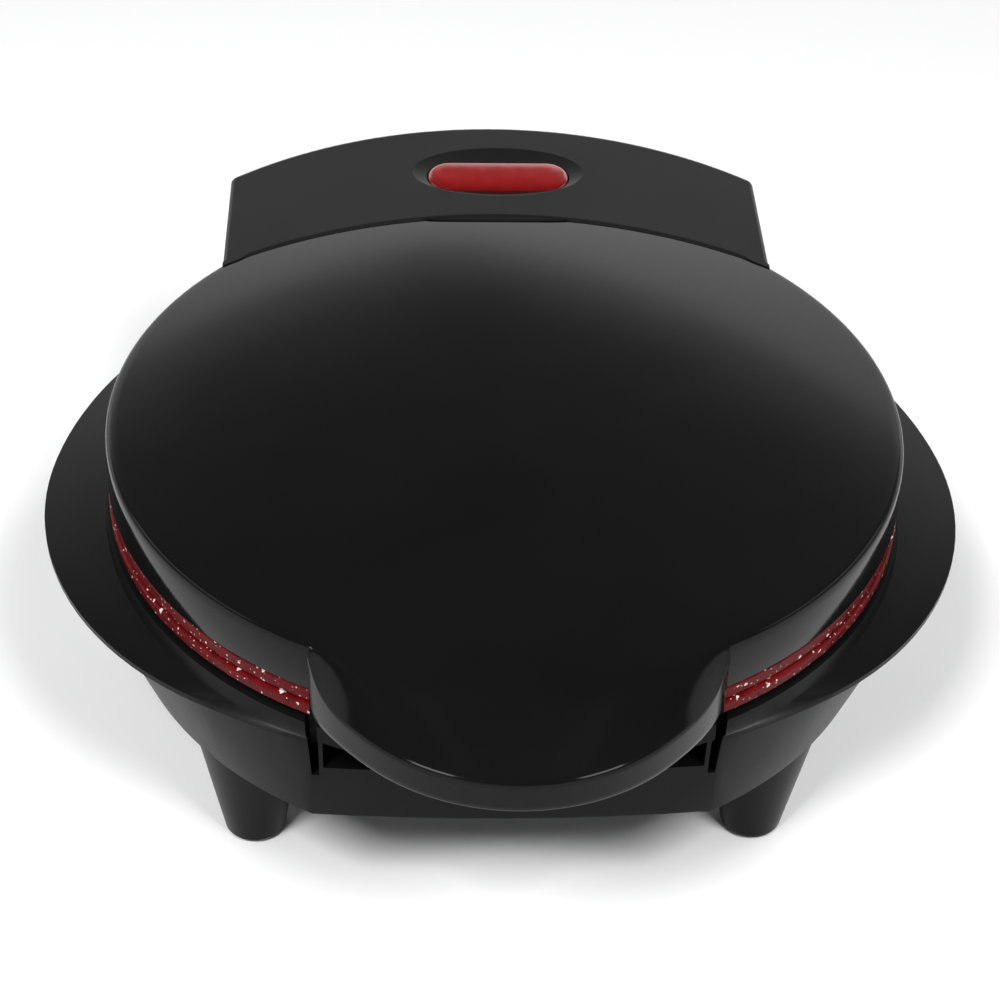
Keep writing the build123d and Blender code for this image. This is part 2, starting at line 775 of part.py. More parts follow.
def heating_element(floor, up):
    """Tubular element lying against a plate's floor, with two tails and flat terminals."""
    height = floor + up * element_radius
    half = element_tail_spacing / 2
    meet = sqrt(element_loop_radius**2 - half**2)
    with BuildPart() as element:
        with BuildLine(level(height)) as path:
            ThreePointArc((half, meet), (0, -element_loop_radius), (-half, meet))
            Line((half, meet), (half, element_tail_reach))
            Line((-half, meet), (-half, element_tail_reach))
            fillet(path.vertices().sort_by(Axis.Y)[:2], element_bend)
        with BuildSketch(Plane((half, plate_y + element_tail_reach, height), x_dir=(1, 0, 0), z_dir=(0, 1, 0))):
            Circle(element_radius)
        sweep(path=path.wire())
        with BuildSketch(Plane((0, plate_y + element_tail_reach, height), x_dir=(1, 0, 0), z_dir=(0, 1, 0))):
            with Locations((half, 0), (-half, 0)):
                Rectangle(terminal_width, terminal_thickness)
        extrude(amount=terminal_length)
    return element.part


def element_clips(floor, up):
    """Flat clips that bridge from the plate's bosses over the element."""
    seat = floor + up * 2 * element_radius
    with BuildPart() as clips:
        with BuildSketch(level(seat)):
            for azimuth in clamp_azimuths:
                with Locations(Location((*at_azimuth(clamp_boss_circle - clamp_boss_radius, azimuth), 0), azimuth)):
                    Rectangle(clamp_length, clamp_width, align=(Align.MIN, Align.CENTER))
            with Locations(*clamp_places):
                Circle(screw_radius + screw_fit, mode=Mode.SUBTRACT)
        extrude(amount=up * clamp_thickness)
    return clips.part


def heat_shield(floor, up, sensor_hole):
    """Thin reflector disc clamped over the clips."""
    seat = floor + up * (2 * element_radius + clamp_thickness)
    with BuildPart() as shield:
        with BuildSketch(level(seat)):
            Circle(shield_radius)
            with Locations(*clamp_places):
                Circle(screw_radius + screw_fit, mode=Mode.SUBTRACT)
            if sensor_hole:
                with Locations((sensor_x, sensor_y), (-sensor_x, sensor_y)):
                    Circle(sensor_hole, mode=Mode.SUBTRACT)
        extrude(amount=up * shield_thickness)
    return shield.part


upper_floor = upper_face + upper_pocket_depth + plate_wall
lower_floor = lower_face - lower_pocket_depth - plate_wall
clip_stack = 2 * element_radius + clamp_thickness + shield_thickness

with BuildPart() as upper_heating_element:
    add(heating_element(upper_floor, 1))
upper_heating_element.part.label = "upper_heating_element"

with BuildPart() as upper_element_clips:
    add(element_clips(upper_floor, 1))
upper_element_clips.part.label = "upper_element_clips"

with BuildPart() as upper_heat_shield:
    add(heat_shield(upper_floor, 1, 0))
upper_heat_shield.part.label = "upper_heat_shield"

with BuildPart() as lower_heating_element:
    add(heating_element(lower_floor, -1))
lower_heating_element.part.label = "lower_heating_element"

with BuildPart() as lower_element_clips:
    add(element_clips(lower_floor, -1))
lower_element_clips.part.label = "lower_element_clips"

with BuildPart() as lower_heat_shield:
    add(heat_shield(lower_floor, -1, thermostat_radius + sensor_clearance))
lower_heat_shield.part.label = "lower_heat_shield"

with BuildPart() as thermostat:
    with BuildSketch(level(lower_floor)):
        with Locations((sensor_x, sensor_y)):
            Circle(thermostat_radius)
    extrude(amount=-thermostat_height)
    with BuildSketch(level(lower_floor - thermostat_height)):
        with Locations((sensor_x, sensor_y)):
            with GridLocations(thermostat_radius, 0, 2, 1):
                Rectangle(terminal_thickness, terminal_width)
    extrude(amount=-terminal_length)
thermostat.part.label = "thermostat"

with BuildPart() as thermal_fuse:
    with BuildSketch(Plane.XZ.offset(-plate_y - sensor_y - fuse_length / 2)):
        with Locations((-sensor_x, lower_floor - fuse_radius)):
            Circle(fuse_radius)
    extrude(amount=fuse_length)
    with BuildSketch(level(lower_floor)):
        with Locations((-sensor_x, sensor_y)):
            Rectangle(2 * fuse_radius + 2 * shield_thickness, fuse_length / 2)
    extrude(amount=-2 * fuse_radius - shield_thickness)
thermal_fuse.part.label = "thermal_fuse"


# ---------------------------------------------------------------- base housing

def brim_outline(height):
    """Outline of the brim at its edge."""
    return base_outline(
        height, brim_radius, brim_flank_reach, brim_shoulder_reach, brim_front_reach, brim_crease_reach, panel_bow
    )


def collar_outline(height):
    """Circle of the collar with the same edges as the brim's outline."""
    bow = collar_radius * (1 + sin(radians(crease_azimuth)))
    return base_outline(
        height, collar_radius, collar_radius, collar_radius, collar_radius, collar_radius, bow
    )


with BuildPart() as base_cavity:
    add(bowl_outline(foot_clearance, base_wall))
    add(bowl_outline(brim_bottom, base_wall))
    loft(ruled=True)
    extrude(bowl_outline(foot_clearance, base_wall), amount=-base_wall)
    # The rear wall and the box around the finger recess stay solid
    with BuildSketch(level(foot_clearance)):
        with Locations((0, base_rear - base_wall)):
            Rectangle(4 * brim_radius, brim_radius, align=(Align.CENTER, Align.MIN))
    extrude(amount=bowl_height, mode=Mode.SUBTRACT)
    with BuildSketch(level(brim_bottom)):
        Circle(collar_radius - collar_width)
    extrude(amount=collar_top + seat_thickness - brim_bottom)
    with BuildSketch(level(recess_sill - base_wall)):
        with Locations((0, recess_wall_y + base_wall)):
            Rectangle(2 * (slot_outer + base_wall), brim_radius, align=(Align.CENTER, Align.MAX))
    extrude(amount=recess_roof + base_wall - recess_sill + base_wall, mode=Mode.SUBTRACT)

ears = side_by_side(ear_inner, ear_width, 0, hinge_y - base_rear + knuckle_radius)
ear_bores = round_bars(ear_inner - knuckle_gap, ear_width + 2 * knuckle_gap, pin_radius)
head_pockets = round_bars(ear_inner - pin_head - lug_clearance, pin_head + lug_clearance,
                          pin_head_radius + pin_head_fit)


def leg_form(growth=0.0):
    """Four tapered legs from the pads up into the bowl."""
    with BuildPart() as cones:
        with BuildSketch(level(pad_stand)):
            with Locations(*foot_places):
                Circle(foot_bottom_radius + growth)
        extrude(amount=foot_clearance + foot_cap - pad_stand, taper=-foot_draft)
    return cones.part


with BuildPart() as legs:
    add(leg_form())
    with BuildSketch(level(pad_stand)):
        with Locations(*foot_places):
            Circle(pad_radius)
    extrude(amount=pad_height - pad_stand, mode=Mode.SUBTRACT)

legs.part.label = "legs"

with BuildPart() as corner_blocks:
    extrude(base_block_outline(brim_bottom), amount=base_block_top - brim_bottom)
    with BuildSketch(level(collar_top)):
        Circle(collar_radius)
    extrude(amount=skirt_depth, mode=Mode.SUBTRACT)
    # Way for the wires between the lugs, and notches where the lid's lugs turn
    with BuildSketch(level(collar_top)):
        with Locations((0, base_rear)):
            Rectangle(2 * wire_slot_half_width, base_rear, align=(Align.CENTER, Align.MAX))
    extrude(amount=skirt_depth, mode=Mode.SUBTRACT)
    with BuildSketch(level(hinge_height - knuckle_radius - lug_clearance)):
        for side in (1, -1):
            with Locations((side * (lug_inner - knuckle_gap), hinge_y - knuckle_radius - lug_clearance)):
                Rectangle(
                    brim_radius, brim_radius,
                    align=(Align.MIN if side > 0 else Align.MAX, Align.MIN),
                )
    extrude(amount=skirt_depth + collar_height, mode=Mode.SUBTRACT)

with BuildPart() as base_housing:
    add(bowl_outline(foot_clearance))
    add(bowl_outline(brim_bottom))
    loft(ruled=True)
    chamfer(base_housing.faces().sort_by(Axis.Z)[0].edges(), bowl_edge_chamfer)
    extrude(brim_outline(brim_bottom), amount=brim_edge)
    add(brim_outline(brim_edge_top))
    add(collar_outline(brim_root))
    loft(ruled=True)
    with BuildSketch(level(brim_root)):
        Circle(collar_radius)
    extrude(amount=collar_height, taper=collar_draft)
    add(corner_blocks.part)
    with BuildSketch(level(foot_clearance)):
        with Locations((0, base_rear)):
            Rectangle(4 * brim_radius, brim_radius, align=(Align.CENTER, Align.MIN))
    extrude(amount=2 * bowl_height, mode=Mode.SUBTRACT)
    add(base_cavity.part, mode=Mode.SUBTRACT)
    # Seat ring for the lower plate
    add(disc_form([
        (seat_inner_radius, seat_bottom),
        (collar_radius - collar_width, seat_bottom),
        (collar_radius - collar_width, collar_top),
        (seat_outer_radius, collar_top),
        (seat_outer_radius, seat_top),
        (seat_inner_radius, seat_top),
    ]))
    # The legs pass through the wall's lower edge
    add(leg_form(leg_fit), mode=Mode.SUBTRACT)
    # Finger recess with a tapered slot on each side
    with BuildSketch(side_plane.offset(-recess_wall_y)):
        with Locations((0, recess_sill)):
            Rectangle(2 * recess_half_width, recess_roof - recess_sill, align=(Align.CENTER, Align.MIN))
        with BuildLine():
            Polyline(
                (slot_inner, collar_top + 1),
                (slot_outer, collar_top + 1),
                (slot_tip_outer, slot_tip_height),
                (slot_inner, slot_tip_height),
                close=True,
            )
        make_face()
        mirror(about=Plane.YZ)
    extrude(amount=brim_radius + recess_wall_y, mode=Mode.SUBTRACT)
    # Bosses for the bottom cover hang from the seat ring and from the recess box
    with BuildSketch(level(cover_top)):
        with Locations(*ring_boss_places):
            Circle(boss_radius)
    extrude(amount=seat_bottom - cover_top)
    with BuildSketch(level(cover_top)):
        with Locations(*front_boss_places):
            Circle(boss_radius)
    extrude(amount=recess_sill - base_wall - cover_top)
    add(ears)
    add(ear_bores, mode=Mode.SUBTRACT)
    add(head_pockets, mode=Mode.SUBTRACT)
    with BuildSketch(level(cover_top)):
        with Locations(*cover_screw_places):
            Circle(screw_radius)
    extrude(amount=cover_screw_grip, mode=Mode.SUBTRACT)
    with BuildSketch(level(seat_top)):
        with Locations(*plate_screw_places):
            Circle(screw_radius + screw_fit)
    extrude(amount=seat_bottom - seat_top, mode=Mode.SUBTRACT)

base_housing.part.label = "base_housing"


# ---------------------------------------------------------------- bottom cover and what stands on it

with BuildPart() as bottom_cover:
    extrude(bowl_outline(cover_bottom, base_wall + cover_fit), amount=cover_thickness)
    with BuildSketch(level(cover_bottom)):
        with Locations(*foot_places):
            Circle(foot_cover_hole)
        with Locations(*cover_screw_places):
            Circle(screw_radius + screw_fit)
        with Locations((0, cord_bush_y)):
            Circle(cord_bush_radius)
        with GridLocations(vent_spacing, vent_pitch, 2, vent_rows):
            SlotOverall(vent_length, vent_width)
    extrude(amount=cover_thickness, mode=Mode.SUBTRACT)
bottom_cover.part.label = "bottom_cover"

with BuildPart() as cord_bush:
    with BuildSketch(level(cover_bottom)):
        with Locations((0, cord_bush_y)):
            Circle(cord_bush_flange)
    extrude(amount=-flange_thickness)
    with BuildSketch(level(cover_bottom)):
        with Locations((0, cord_bush_y)):
            Circle(cord_bush_radius)
    extrude(amount=cord_bush_depth - flange_thickness)
    with BuildSketch(level(cover_bottom - flange_thickness)):
        with Locations((0, cord_bush_y)):
            Circle(cord_bore_radius)
    extrude(amount=cord_bush_depth, mode=Mode.SUBTRACT)
cord_bush.part.label = "cord_bush"

with BuildPart() as terminal_block:
    with BuildSketch(level(cover_top)):
        with Locations((0, terminal_block_y)):
            Rectangle(terminal_block_length, terminal_block_width)
    extrude(amount=terminal_block_height)
    with BuildSketch(level(cover_top + terminal_block_height)):
        with Locations((0, terminal_block_y)):
            with GridLocations(terminal_block_pitch, 0, 3, 1):
                Circle(terminal_well_radius)
    extrude(amount=-terminal_well_depth, mode=Mode.SUBTRACT)
terminal_block.part.label = "terminal_block"

with BuildPart() as foot_pads:
    with BuildSketch(level(0)):
        with Locations(*foot_places):
            Circle(pad_radius)
    extrude(amount=pad_height)
    chamfer(foot_pads.edges().group_by(Axis.Z)[0], pad_stand / 2)
foot_pads.part.label = "foot_pads"

with BuildPart() as hinge_pins:
    add(round_bars(ear_inner, lug_inner + lug_width - ear_inner, pin_radius))
    add(round_bars(ear_inner - pin_head, pin_head, pin_head_radius))
hinge_pins.part.label = "hinge_pins"


# ---------------------------------------------------------------- screws, one node for each kind

def screws(places, head_face, length, up):
    """Pan-head screws at several places, with their shanks pointing up if up is 1."""
    with BuildPart() as made:
        with BuildSketch(level(head_face)):
            with Locations(*places):
                Circle(screw_head_radius)
        extrude(amount=-up * screw_head_height)
        fillet(made.edges().group_by(Axis.Z)[0 if up > 0 else -1], screw_head_height / 2)
        with BuildSketch(level(head_face)):
            with Locations(*places):
                Circle(screw_radius)
        extrude(amount=up * length)
    return made.part


with BuildPart() as upper_housing_screws:
    add(screws(dome_screw_places + block_screw_places, upper_rim_top, ring_thickness + ring_screw_grip, 1))
upper_housing_screws.part.label = "upper_housing_screws"

with BuildPart() as upper_plate_screws:
    add(screws(plate_screw_places, ring_top, ring_thickness + upper_rim_height - plate_skin, -1))
upper_plate_screws.part.label = "upper_plate_screws"

with BuildPart() as lower_plate_screws:
    add(screws(plate_screw_places, seat_bottom, lower_screw_length, 1))
lower_plate_screws.part.label = "lower_plate_screws"

with BuildPart() as upper_clip_screws:
    add(screws(clamp_places, upper_floor + clip_stack, clamp_screw_length, -1))
upper_clip_screws.part.label = "upper_clip_screws"

with BuildPart() as lower_clip_screws:
    add(screws(clamp_places, lower_floor - clip_stack, clamp_screw_length, 1))
lower_clip_screws.part.label = "lower_clip_screws"

with BuildPart() as hinge_cover_screws:
    add(screws(hinge_cover_places, hinge_cover_top - cover_thickness, cover_thickness + cover_screw_grip, 1))
hinge_cover_screws.part.label = "hinge_cover_screws"

with BuildPart() as bottom_screws:
    add(screws(cover_screw_places, cover_bottom, cover_thickness + cover_screw_grip, 1))
bottom_screws.part.label = "bottom_screws"


# ---------------------------------------------------------------- export

pieces = [
    lid_cover, upper_housing, hinge_cover, indicator_lens, lamp_holder, indicator_lamp,
    upper_cooking_plate, upper_mounting_ring, upper_heating_element, upper_element_clips,
    upper_heat_shield, upper_housing_screws, upper_plate_screws, upper_clip_screws,
    hinge_cover_screws, base_housing, lower_cooking_plate, lower_heating_element,
    lower_element_clips, lower_heat_shield, lower_plate_screws, lower_clip_screws,
    thermostat, thermal_fuse, terminal_block, cord_bush, bottom_cover, bottom_screws,
    legs, foot_pads, hinge_pins,
]
os.makedirs("parts", exist_ok=True)
for piece in pieces:
    export_step(piece.part, f"parts/{piece.part.label}.step")
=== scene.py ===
"""Round omelette maker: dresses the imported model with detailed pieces, finishes, a studio and a camera."""
import math

import bmesh
import bpy
from bpy.props import FloatProperty, FloatVectorProperty, PointerProperty
from mathutils import Matrix, Vector


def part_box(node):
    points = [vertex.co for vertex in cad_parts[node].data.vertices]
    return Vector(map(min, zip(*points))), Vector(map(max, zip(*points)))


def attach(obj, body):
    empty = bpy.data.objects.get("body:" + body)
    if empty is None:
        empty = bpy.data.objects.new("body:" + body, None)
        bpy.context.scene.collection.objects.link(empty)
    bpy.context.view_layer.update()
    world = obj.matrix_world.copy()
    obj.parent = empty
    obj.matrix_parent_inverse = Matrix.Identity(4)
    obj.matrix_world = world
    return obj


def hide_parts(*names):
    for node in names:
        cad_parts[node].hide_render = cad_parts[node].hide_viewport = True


bl_info = {
    "name": "Omelette Maker Studio",
    "version": (1, 0, 0),
    "blender": (4, 5, 0),
    "location": "View3D > Sidebar > Omelette Maker",
    "description": "Builds the dressed pieces, finishes and studio of a round omelette maker",
    "category": "Object",
}

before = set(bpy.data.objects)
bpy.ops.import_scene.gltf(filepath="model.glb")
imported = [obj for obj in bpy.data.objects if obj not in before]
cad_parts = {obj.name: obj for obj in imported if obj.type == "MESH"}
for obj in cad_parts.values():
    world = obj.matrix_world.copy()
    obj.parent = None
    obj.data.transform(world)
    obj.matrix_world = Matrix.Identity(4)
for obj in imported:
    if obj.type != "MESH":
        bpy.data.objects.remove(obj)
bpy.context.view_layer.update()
MM = 0.001
PLATE_Y = sum(corner[1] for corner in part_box("lower_cooking_plate")) / 2

# ------------------------------------------------------------------ sizes and colours


def length(label, about, millimetres):
    """Length property with a default in millimetres."""
    return FloatProperty(
        name=label, description=about, default=millimetres * MM, unit="LENGTH", precision=5)


def colour(label, about, value):
    """Colour property."""
    return FloatVectorProperty(name=label, description=about, default=value, subtype="COLOR", min=0, max=1)


class OmeletteLid(bpy.types.PropertyGroup):
    """Sizes of the domed lid and its thumb tongue, from the plate axis and the table."""

    radius: length("Lid radius", "Radius of the dome at its edge", 97.9)
    top: length("Dome top", "Height of the middle of the dome", 95.4)
    edge: length("Dome edge", "Height of the dome's edge", 88.8)
    band_height: length("Rim band", "Height of the steep band below the edge", 2.2)
    band_lean: length("Rim band lean", "How far the band leans out", 0.5)
    flare: length("Skirt flare", "How much wider the skirt is at its lower edge", 0.8)
    skirt_bottom: length("Skirt bottom", "Height of the skirt's lower edge", 75.8)
    wall: length("Wall", "Thickness of the moulding", 2.2)
    half_width: length("Tongue half width", "Half the width of the tongue at its root", 46.5)
    nose_half_width: length("Nose half width", "Half the width of the nose arc", 30.0)
    nose_bow: length("Nose bow", "How far the nose arc stands out from its chord", 10.6)
    flank_bow: length("Flank bow", "How far the flanks bulge", 1.1)
    root_step: length("Root step", "Step of the tongue in front of the lid's edge", 1.2)
    reach: length("Tongue reach", "Distance from the plate axis to the tip", 117.15)
    lip_top: length("Lip top", "Height of the lip's upper edge", 76.4)
    lip_bottom: length("Lip bottom", "Height of the lip's lower edge", 68.4)
    lip_radius: length("Lip radius", "Rounding of the lip's upper edge", 2.8)
    root_rise: length("Root rise", "Distance over which the lip rises at each root corner", 3.6)
    plate_clearance: length("Plate clearance radius", "Radius kept clear under the tongue", 99.35)
    dimple_half_length: length("Dimple half length", "Half the length of the thumb dimple", 20.0)
    dimple_half_width: length("Dimple half width", "Half the width of the thumb dimple", 8.6)
    dimple_depth: length("Dimple depth", "Depth of the thumb dimple", 1.0)
    dimple_setback: length("Dimple setback", "Distance from the tip to the middle of the dimple", 10.2)
    rim_round: length("Rim rounding", "Rounding of the dome's edge", 1.15)
    band_round: length("Band rounding", "Rounding between the band and the skirt", 0.9)
    hem_round: length("Hem rounding", "Rounding of the skirt's lower edge", 0.5)
    rear_setback: length("Rear setback", "How far inside its edge the dome ends in the hinge block", 9.5)
    patch_width: length("Patch width", "How far the tongue's surface runs in over the dome", 8.0)
    patch_lift: length("Patch lift", "Lift of the tongue's surface over the dome", 0.02)


class OmeletteLens(bpy.types.PropertyGroup):
    """Sizes of the indicator lens."""

    length: length("Length", "Length of the lens", 40.3)
    width: length("Width", "Width of the lens", 13.8)
    thickness: length("Thickness", "Depth of the moulded lens", 5.2)
    corner: length("Corner radius", "Plan radius of the corners", 6.5)
    edge: length("Edge radius", "Rounding of the upper edge", 1.7)
    crown: length("Crown", "Rise of the middle of the lens", 0.35)
    place: FloatVectorProperty(
        name="Place", description="Middle of the lens's top, from the plate axis",
        default=(1.5 * MM, 106.0 * MM, 92.75 * MM), subtype="TRANSLATION", unit="LENGTH")
    # The grip notch is a thin dark piece on the dome: painted shade where a shadowed slot would be.
    notch_length: length("Notch length", "Length of the grip notch in front of the lens", 41.0)
    notch_width: length("Notch width", "Width of the grip notch", 4.4)
    notch_rise: length("Notch rise", "Half the thickness of the grip notch's dark piece", 0.35)
    notch_place: FloatVectorProperty(
        name="Notch place", description="Middle of the grip notch, from the plate axis",
        default=(0.6 * MM, 85.3 * MM, 90.40 * MM), subtype="TRANSLATION", unit="LENGTH")
    slope: FloatProperty(
        name="Slope", description="Slope of the hinge block's top",
        default=math.radians(3.83), unit="ROTATION")


class OmeletteFinish(bpy.types.PropertyGroup):
    """Colours of the visible finishes."""

    gloss_black: colour("Lid gloss", "Colour of the glossy lid cover", (0.0052, 0.0052, 0.0055))
    satin_black: colour("Housing satin", "Colour of the satin mouldings", (0.0100, 0.0100, 0.0104))
    plate_red: colour("Plate red", "Colour of the non-stick coating", (0.150, 0.006, 0.008))
    speck: colour("Plate specks", "Colour of the pale specks in the coating", (0.80, 0.70, 0.66))
    lens_red: colour("Lens red", "Colour of the indicator lens", (0.270, 0.006, 0.006))
    # Painted shade: the darker red painted low on the lens's sides.
    lens_painted_shade: colour("Lens depth", "Colour low in the indicator lens", (0.10, 0.001, 0.002))
    rubber: colour("Rubber", "Colour of the foot pads and the cord bush", (0.020, 0.020, 0.020))
    steel: colour("Steel", "Colour of plated steel", (0.56, 0.56, 0.55))
    element: colour("Element", "Colour of the tubular elements", (0.17, 0.16, 0.15))
    natural: colour("Natural plastic", "Colour of the heat-proof inner mouldings", (0.62, 0.58, 0.50))


class OmeletteStudio(bpy.types.PropertyGroup):
    """Place of the camera and strength of the studio light."""

    camera_place: FloatVectorProperty(
        name="Camera place", description="Position of the camera",
        default=(-0.02479, -0.44520, 0.41339), subtype="TRANSLATION", unit="LENGTH")
    camera_turn: FloatVectorProperty(
        name="Camera turn", description="Rotation of the camera",
        default=(math.radians(51.0838), math.radians(-1.5175), math.radians(-1.9252)), subtype="EULER")
    lens_length: FloatProperty(
        name="Focal length", description="Focal length in millimetres on a 36 mm sensor",
        default=79.2, min=10, max=300)
    left_power: FloatProperty(
        name="Left light", description="Power of the soft light on the left",
        default=25.0, min=0, unit="POWER")
    right_power: FloatProperty(
        name="Right light", description="Power of the soft light on the right",
        default=21.0, min=0, unit="POWER")
    edge_share: FloatProperty(
        name="Edge light share", description="Power of each low strip as a share of its soft light",
        default=0.20, min=0, max=1)
    rim_share: FloatProperty(
        name="Rim light share", description="Power of each side strip as a share of its soft light",
        default=0.08, min=0, max=1)
    backdrop_level: FloatProperty(
        name="Backdrop level", description="Brightness of the room at the horizon", default=2.0, min=0)


# ------------------------------------------------------------------ node helpers


def new_finish(name):
    """Principled material with its object coordinates."""
    mat = bpy.data.materials.new(name)
    mat.use_nodes = True
    tree = mat.node_tree
    place = tree.nodes.new("ShaderNodeTexCoord").outputs["Object"]
    return mat, tree, tree.nodes["Principled BSDF"], place


def noise(tree, place, scale, detail=3.0, roughness=0.55):
    """Grey noise pattern; scale is in cycles per metre."""
    pattern = tree.nodes.new("ShaderNodeTexNoise")
    pattern.inputs["Scale"].default_value = scale
    pattern.inputs["Detail"].default_value = detail
    pattern.inputs["Roughness"].default_value = roughness
    tree.links.new(place, pattern.inputs["Vector"])
    return pattern.outputs["Fac"]


def stretched(tree, place, scale):
    """Object coordinates stretched along the axes."""
    mapping = tree.nodes.new("ShaderNodeMapping")
    mapping.inputs["Scale"].default_value = scale
    tree.links.new(place, mapping.inputs["Vector"])
    return mapping.outputs["Vector"]


def spread(tree, value, low, high, from_low=0.3, from_high=0.7):
    """Pattern value mapped to a range."""
    span = tree.nodes.new("ShaderNodeMapRange")
    span.inputs["From Min"].default_value = from_low
    span.inputs["From Max"].default_value = from_high
    span.inputs["To Min"].default_value = low
    span.inputs["To Max"].default_value = high
    tree.links.new(value, span.inputs["Value"])
    return span.outputs["Result"]


def between(tree, value, first, second):
    """Colour mixed between two by a pattern; each is a colour or a node's output."""
    mix = tree.nodes.new("ShaderNodeMix")
    mix.data_type = "RGBA"
    tree.links.new(value, mix.inputs["Factor"])
    for socket, source in ((mix.inputs[6], first), (mix.inputs[7], second)):
        if hasattr(source, "links"):
            tree.links.new(source, socket)
        else:
            socket.default_value = (*source, 1)
    return mix.outputs[2]


def combine(tree, operation, first, second):
    """Two values combined by a math operation; the second is a number or an output."""
    math_node = tree.nodes.new("ShaderNodeMath")
    math_node.operation = operation
    tree.links.new(first, math_node.inputs[0])
    if hasattr(second, "links"):
        tree.links.new(second, math_node.inputs[1])
    else:
        math_node.inputs[1].default_value = second
    return math_node.outputs[0]


def raise_surface(tree, shader, height, distance):
    """Bump from a height pattern."""
    bump = tree.nodes.new("ShaderNodeBump")
    bump.inputs["Distance"].default_value = distance
    bump.inputs["Strength"].default_value = 1.0
    tree.links.new(height, bump.inputs["Height"])
    tree.links.new(bump.outputs["Normal"], shader.inputs["Normal"])


def scaled(tone, factor):
    """Colour made lighter or darker."""
    return tuple(min(1.0, part * factor) for part in tone)


# ------------------------------------------------------------------ finishes


# Grain of each moulding: cycles per metre and depth
GLOSS_GRAIN = (900, 0.003 * MM)
SATIN_GRAIN = (2600, 0.012 * MM)
RUBBER_GRAIN = (1400, 0.03 * MM)
INNER_GRAIN = (1200, 0.02 * MM)
LINE_DEPTH = 0.01 * MM      # of the lens's skin and the metal's drawn lines
PEBBLE_DEPTH = 0.03 * MM    # of the coating's skin


def moulded_plastic(name, tone, rough, grain, specular):
    """Moulded plastic: fine grain, faint flow marks and patches of different polish."""
    mat, tree, shader, place = new_finish(name)
    flow = noise(tree, stretched(tree, place, (1.0, 1.0, 2.5)), 22, 4)
    grain_scale, grain_depth = grain
    grain_marks = noise(tree, place, grain_scale, 2, 0.7)
    tone_link = between(tree, spread(tree, flow, 0, 1), scaled(tone, 0.90), scaled(tone, 1.12))
    tree.links.new(tone_link, shader.inputs["Base Color"])
    polish = combine(
        tree, "ADD", spread(tree, flow, rough[0], rough[1]), spread(tree, grain_marks, -0.015, 0.015))
    tree.links.new(polish, shader.inputs["Roughness"])
    shader.inputs["Specular IOR Level"].default_value = specular
    raise_surface(tree, shader, grain_marks, grain_depth)
    return mat


def speckled_coating(name, tone, speck):
    """Dark red non-stick coating with scattered pale specks, fine flecks and a pebbled skin."""
    mat, tree, shader, place = new_finish(name)
    mottle = noise(tree, place, 260, 3)
    ground = between(tree, spread(tree, mottle, 0, 1), scaled(tone, 0.72), scaled(tone, 1.25))

    def specks(scale, share):
        cells = tree.nodes.new("ShaderNodeTexVoronoi")
        cells.inputs["Scale"].default_value = scale
        wobble = noise(tree, place, scale * 2.6, 2)
        shifted = tree.nodes.new("ShaderNodeVectorMath")
        shifted.operation = "MULTIPLY_ADD"
        tree.links.new(wobble, shifted.inputs[0])
        shifted.inputs[1].default_value = (0.5 / scale,) * 3
        tree.links.new(place, shifted.inputs[2])
        tree.links.new(shifted.outputs[0], cells.inputs["Vector"])
        parts = tree.nodes.new("ShaderNodeSeparateColor")
        tree.links.new(cells.outputs["Color"], parts.inputs["Color"])
        size = spread(tree, parts.outputs[0], 0.0, 0.36, 1 - share, 1.0)
        return combine(tree, "LESS_THAN", cells.outputs["Distance"], size)

    large = specks(520, 0.30)
    fine = specks(1250, 0.34)
    mask = combine(tree, "MAXIMUM", large, combine(tree, "MULTIPLY", fine, 0.75))
    tree.links.new(between(tree, mask, ground, speck), shader.inputs["Base Color"])
    tree.links.new(spread(tree, mottle, 0.24, 0.40), shader.inputs["Roughness"])
    shader.inputs["Specular IOR Level"].default_value = 0.06
    raise_surface(tree, shader, noise(tree, place, 900, 2), PEBBLE_DEPTH)
    return mat


def lens_plastic(name, tone, painted_shade_red, low, high):
    """Clear red lens with painted light: full red at its crown as a painted highlight, painted darker low at
    its sides as shade.
    """
    mat, tree, shader, place = new_finish(name)
    parts = tree.nodes.new("ShaderNodeSeparateXYZ")
    tree.links.new(place, parts.inputs["Vector"])
    # Painted light: the height on the lens picks the colour, from painted shade low down to full red at the
    # crown.
    rise = spread(tree, parts.outputs["Z"], 0, 1, low, high)
    cloud = noise(tree, place, 300, 3)
    tone_link = between(tree, combine(tree, "MULTIPLY", rise, spread(tree, cloud, 0.68, 1.0)), painted_shade_red, tone)
    tree.links.new(tone_link, shader.inputs["Base Color"])
    tree.links.new(spread(tree, cloud, 0.16, 0.26), shader.inputs["Roughness"])
    shader.inputs["Coat Weight"].default_value = 0.22
    shader.inputs["Coat Roughness"].default_value = 0.08
    raise_surface(tree, shader, noise(tree, place, 1500, 2), LINE_DEPTH)
    return mat


def brushed_metal(name, tone, rough):
    """Plated or drawn metal with fine lines and faint staining."""
    mat, tree, shader, place = new_finish(name)
    lines = noise(tree, stretched(tree, place, (0.2, 1.0, 1.0)), 1600, 4, 0.7)
    stain = noise(tree, place, 120, 4)
    stained = between(tree, spread(tree, stain, 0, 1), scaled(tone, 0.78), tone)
    tree.links.new(stained, shader.inputs["Base Color"])
    polish = combine(tree, "ADD", spread(tree, stain, rough[0], rough[1]), spread(tree, lines, -0.04, 0.04))
    tree.links.new(polish, shader.inputs["Roughness"])
    shader.inputs["Metallic"].default_value = 1.0
    raise_surface(tree, shader, lines, LINE_DEPTH)
    return mat


def clear_glass(name):
    """Small glass lamp with a warm tint."""
    mat, tree, shader, place = new_finish(name)
    cloud = noise(tree, place, 400, 2)
    tree.links.new(between(tree, cloud, (0.95, 0.62, 0.42), (1.0, 0.85, 0.70)), shader.inputs["Base Color"])
    tree.links.new(spread(tree, cloud, 0.02, 0.08), shader.inputs["Roughness"])
    shader.inputs["Transmission Weight"].default_value = 0.8
    return mat


